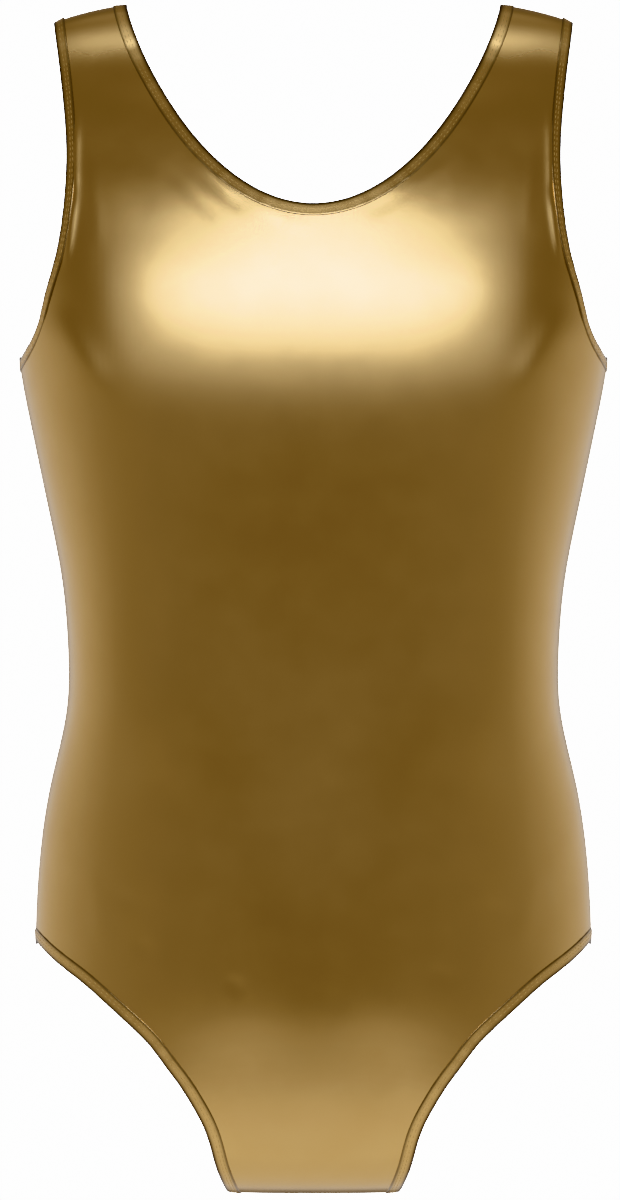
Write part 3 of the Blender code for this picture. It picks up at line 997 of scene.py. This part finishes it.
# Stitches
# A twin needle in matching thread holds each band down, two rows side by side on the band's
# inner half. Each stitch is a short piece of thread that dives into the cloth at both ends.
STITCH_PITCH = 0.0030
STITCH_LENGTH = 0.0023
THREAD_RADIUS = 0.00016
STITCH_ROWS = ((0.0026, 0.00149), (0.0039, 0.00161))
THREAD_AROUND = 6
THREAD_ALONG = 5
THREAD_COLOUR = (0.62, 0.43, 0.16, 1)
THREAD_SHADE = (0.40, 0.26, 0.09, 1)
THREAD_SPECKLES = 900.0
THREAD_DETAIL = 2.0
THREAD_LUSTRE = 0.20
THREAD_ROUGHNESS = 0.66


def sewing_thread(name):
    """Soft gold polyester thread, speckled with the shade between its plies."""
    material, tree, shader, place = new_material(name)
    speckle = noise(tree, place, THREAD_SPECKLES, THREAD_DETAIL)
    colour = mixed_colour(tree, speckle, THREAD_COLOUR, THREAD_SHADE)
    tree.links.new(colour, shader.inputs["Base Color"])
    shader.inputs["Metallic"].default_value = THREAD_LUSTRE
    shader.inputs["Roughness"].default_value = THREAD_ROUGHNESS
    return material


thread = sewing_thread("gold_sewing_thread")


stitch_shape = bmesh.new()
bmesh.ops.create_uvsphere(stitch_shape, u_segments=THREAD_AROUND, v_segments=THREAD_ALONG,
                          radius=THREAD_RADIUS,
                          matrix=Matrix.Diagonal((STITCH_LENGTH / 2 / THREAD_RADIUS, 1, 1, 1)))
one_stitch = bpy.data.meshes.new("one_stitch")
stitch_shape.to_mesh(one_stitch)
stitch_shape.free()


def frame_along(frames, lengths, length):
    """The edge's point, outward direction and inward direction at a distance along it."""
    i = min(max(bisect.bisect_right(lengths, length) - 1, 0), len(lengths) - 2)
    t = (length - lengths[i]) / (lengths[i + 1] - lengths[i])
    return [before.lerp(after, t) for before, after in zip(frames[i], frames[i + 1])]


def make_stitches(name, frames, closed, fit, flip=1):
    """Two rows of stitches on a band, following its puckers."""
    wider, set_in = fit
    loop_frames = frames + frames[:1] if closed else frames
    lengths = edge_lengths(loop_frames)
    shape = bmesh.new()
    for row, lift in STITCH_ROWS:
        for i in range(int(lengths[-1] / STITCH_PITCH)):
            length = (i + 0.5) * STITCH_PITCH
            point, normal, inward = frame_along(loop_frames, lengths, length)
            middle = point + inward * (row * wider + set_in)
            middle += normal * (lift + pucker_at(length))
            turned = Matrix((inward.cross(normal), inward, normal)).transposed().to_4x4()
            placed = Matrix.Translation(middle) @ turned
            one_stitch.transform(placed)
            shape.from_mesh(one_stitch)
            one_stitch.transform(placed.inverted())
    if flip < 0:
        bmesh.ops.scale(shape, vec=(-1, 1, 1), verts=shape.verts)
        bmesh.ops.reverse_faces(shape, faces=shape.faces)
    if not closed:
        other = shape.copy()
        bmesh.ops.scale(other, vec=(-1, 1, 1), verts=other.verts)
        bmesh.ops.reverse_faces(other, faces=other.faces)
        add_shape(shape, other)
    stitches = link_piece(name, shape, (thread,))
    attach(stitches, "root")


make_stitches("neck_stitches", neck_frames, False, NECK_BAND_FIT)
for hand, flip in (("left", 1), ("right", -1)):
    make_stitches(f"armhole_stitches_{hand}", armhole_frames, True, ARMHOLE_BAND_FIT, flip)
    make_stitches(f"leg_stitches_{hand}", leg_frames, True, LEG_BAND_FIT, flip)

bpy.data.meshes.remove(one_stitch)


# Studio
# A pale floor, and a pale room with one wide soft lamp high in front. Weaker glows come from
# the sides, the floor, above and behind. The background itself is plain white.
FLOOR_HEIGHT = -1.30
FLOOR_RADIUS = 12.0
FLOOR_CORNERS = 96
FLOOR_COLOUR = (0.9, 0.9, 0.9, 1)
FLOOR_ROUGHNESS = 0.8
FLOOR_GLOW_COLOUR = (1, 0.98, 0.94, 1)
FLOOR_GLOW = 0.42
shape = bmesh.new()
bmesh.ops.create_circle(shape, cap_ends=True, segments=FLOOR_CORNERS, radius=FLOOR_RADIUS)
for vertex in shape.verts:
    vertex.co.z = FLOOR_HEIGHT
floor_look = bpy.data.materials.new("pale_floor")
floor_look.use_nodes = True
floor_shader = floor_look.node_tree.nodes["Principled BSDF"]
floor_shader.inputs["Base Color"].default_value = FLOOR_COLOUR
floor_shader.inputs["Roughness"].default_value = FLOOR_ROUGHNESS
floor_shader.inputs["Emission Color"].default_value = FLOOR_GLOW_COLOUR
floor_shader.inputs["Emission Strength"].default_value = FLOOR_GLOW
floor = link_piece("floor", shape, (floor_look,))
floor.visible_glossy = False
floor.visible_shadow = False

world = bpy.data.worlds.new("studio")
bpy.context.scene.world = world
world.use_nodes = True
sky = world.node_tree
sky.nodes.clear()
place = wire(sky, "ShaderNodeTexCoord")
parts = wire(sky, "ShaderNodeSeparateXYZ", {"Vector": place.outputs["Generated"]})


def rise(value, start, end):
    """0 before start, 1 after end, and smooth between."""
    inputs = {"Value": value, "From Min": start, "From Max": end}
    node = wire(sky, "ShaderNodeMapRange", inputs, interpolation_type="SMOOTHSTEP", clamp=True)
    return node.outputs["Result"]


def degrees(value):
    """An angle in degrees."""
    return math_node(sky, "MULTIPLY", value, 180 / math.pi)


def chain(operation, *values):
    """Several values added or multiplied in turn."""
    result = values[0]
    for value in values[1:]:
        result = math_node(sky, operation, result, value)
    return result


def background(colour, strength):
    """Light of one colour from all round, as strong as given for each direction."""
    node = wire(sky, "ShaderNodeBackground", {"Color": colour, "Strength": strength})
    return node.outputs["Background"]


def both_lights(first, second):
    """Two lights at once."""
    node = wire(sky, "ShaderNodeAddShader")
    sky.links.new(first, node.inputs[0])
    sky.links.new(second, node.inputs[1])
    return node.outputs["Shader"]


# A direction is 0 degrees round in front and 180 behind, the same to the left and the right,
# and -90 to 90 degrees up. Each light is given by where it starts and where it is full.
wide = math_node(sky, "ABSOLUTE", parts.outputs["X"])
ahead = math_node(sky, "MULTIPLY", parts.outputs["Y"], -1.0)
azimuth = degrees(math_node(sky, "ARCTAN2", wide, ahead))
elevation = degrees(math_node(sky, "ARCSINE", parts.outputs["Z"]))

# The sides, which start well round from the front and draw back as they go up
SIDE_LIGHT = 0.42
SIDE_NARROWING = 2.5
SIDE_NARROWS_FROM = 2.0
SIDE_ROUND = (27.0, 160.0)
SIDE_FAR_END = (181.0, 158.0)
SIDE_UP = (-50.0, -25.0)
raised = math_node(sky, "MAXIMUM", math_node(sky, "SUBTRACT", elevation, SIDE_NARROWS_FROM), 0.0)
drawn_back = math_node(sky, "MULTIPLY", raised, SIDE_NARROWING)
side_azimuth = math_node(sky, "SUBTRACT", azimuth, drawn_back)
side_glow = chain("MULTIPLY", rise(side_azimuth, *SIDE_ROUND), rise(azimuth, *SIDE_FAR_END),
                  rise(elevation, *SIDE_UP), SIDE_LIGHT)

# A faint light low at the front corners
LOW_LIGHT = 0.035
LOW_ROUND = (12.0, 30.0)
LOW_FAR_END = (78.0, 58.0)
LOW_DOWN = (-4.0, -14.0)
low_glow = chain("MULTIPLY", rise(azimuth, *LOW_ROUND), rise(azimuth, *LOW_FAR_END),
                 rise(elevation, *LOW_DOWN), LOW_LIGHT)

# The floor, which starts lower right in front, and is lightest deep below
FLOOR_LIGHT = 0.40
FLOOR_SPREAD = 0.42
FLOOR_SPREAD_END = 15.0
FLOOR_DOWN = (-24.5, -37.0)
DEEP_FLOOR_LIGHT = 0.05
DEEP_FLOOR_DOWN = (-30.0, -60.0)
ahead_azimuth = math_node(sky, "MINIMUM", azimuth, FLOOR_SPREAD_END)
lowered = math_node(sky, "MULTIPLY", ahead_azimuth, FLOOR_SPREAD)
spread = math_node(sky, "SUBTRACT", elevation, lowered)
floor_glow = chain("MULTIPLY", rise(spread, *FLOOR_DOWN), FLOOR_LIGHT)
deep_glow = chain("MULTIPLY", rise(elevation, *DEEP_FLOOR_DOWN), DEEP_FLOOR_LIGHT)

# The ceiling, from straight above to behind
TOP_LIGHT = 0.21
TOP_UP = (60.0, 74.0)
TOP_BACK = (0.22, -0.14)
top_glow = chain("MULTIPLY", rise(elevation, *TOP_UP), rise(ahead, *TOP_BACK), TOP_LIGHT)

# The lamp in front: a wide box whose top edge slants down to the sides, in a soft halo
BOX_LIGHT = 13.0
BOX_SLANT = 0.26
BOX_ROUND = (47.0, 31.0)
BOX_UP = (24.3, 38.5)
BOX_TOP = (43.2, 36.7)
BOX_HALO = 0.55
HALO_ROUND = (67.0, 42.0)
HALO_UP = (-11.0, 34.0)
HALO_TOP = (54.5, 40.6)
slanted = math_node(sky, "ADD", elevation, math_node(sky, "MULTIPLY", azimuth, BOX_SLANT))
box = chain("MULTIPLY", rise(azimuth, *BOX_ROUND), rise(elevation, *BOX_UP),
            rise(slanted, *BOX_TOP), BOX_LIGHT)
halo = chain("MULTIPLY", rise(azimuth, *HALO_ROUND), rise(elevation, *HALO_UP),
             rise(slanted, *HALO_TOP), BOX_HALO)

# The room, a little darker behind
ROOM = 0.187
BEHIND_SHADE = 0.30
BEHIND_ROUND = (90.0, 130.0)
BEHIND_UP = (8.0, 30.0)
BEHIND_TOP = (66.0, 56.0)
behind = chain("MULTIPLY", rise(azimuth, *BEHIND_ROUND), rise(elevation, *BEHIND_UP),
               rise(elevation, *BEHIND_TOP))
room = math_node(sky, "MULTIPLY_ADD", behind, -ROOM * BEHIND_SHADE, ROOM)

ROOM_COLOUR = (1, 0.805, 0.61, 1)
GLOW_COLOUR = (1, 1.04, 1.12, 1)
LAMP_COLOUR = (1, 1.13, 1.40, 1)
WHITE = (1, 1, 1, 1)
WHITE_BACKGROUND = 6.0
glows = chain("ADD", side_glow, floor_glow, deep_glow, top_glow, low_glow)
room_light = both_lights(background(ROOM_COLOUR, room), background(GLOW_COLOUR, glows))
light = both_lights(room_light, background(LAMP_COLOUR, chain("ADD", box, halo)))
seen = wire(sky, "ShaderNodeLightPath")
mixed = wire(sky, "ShaderNodeMixShader", {"Fac": seen.outputs["Is Camera Ray"]})
sky.links.new(light, mixed.inputs[1])
sky.links.new(background(WHITE, WHITE_BACKGROUND), mixed.inputs[2])
wire(sky, "ShaderNodeOutputWorld", {"Surface": mixed.outputs["Shader"]})

bpy.context.scene.view_settings.view_transform = "Khronos PBR Neutral"


# Camera
# A long lens straight in front, level with the middle of the garment, so that the straps and
# the crotch both show without a slant.
PICTURE_HEIGHT = 0.624
CAMERA_DISTANCE = 6.0
CAMERA_SIDE_STEP = -0.0018
CAMERA_HEIGHT = -0.3044
camera = bpy.data.objects.new("camera", bpy.data.cameras.new("camera"))
bpy.context.scene.collection.objects.link(camera)
camera.location = (CAMERA_SIDE_STEP, -CAMERA_DISTANCE, CAMERA_HEIGHT)
camera.rotation_euler = (math.pi / 2, 0, 0)
camera.data.lens = camera.data.sensor_width * CAMERA_DISTANCE / PICTURE_HEIGHT
bpy.context.scene.camera = camera
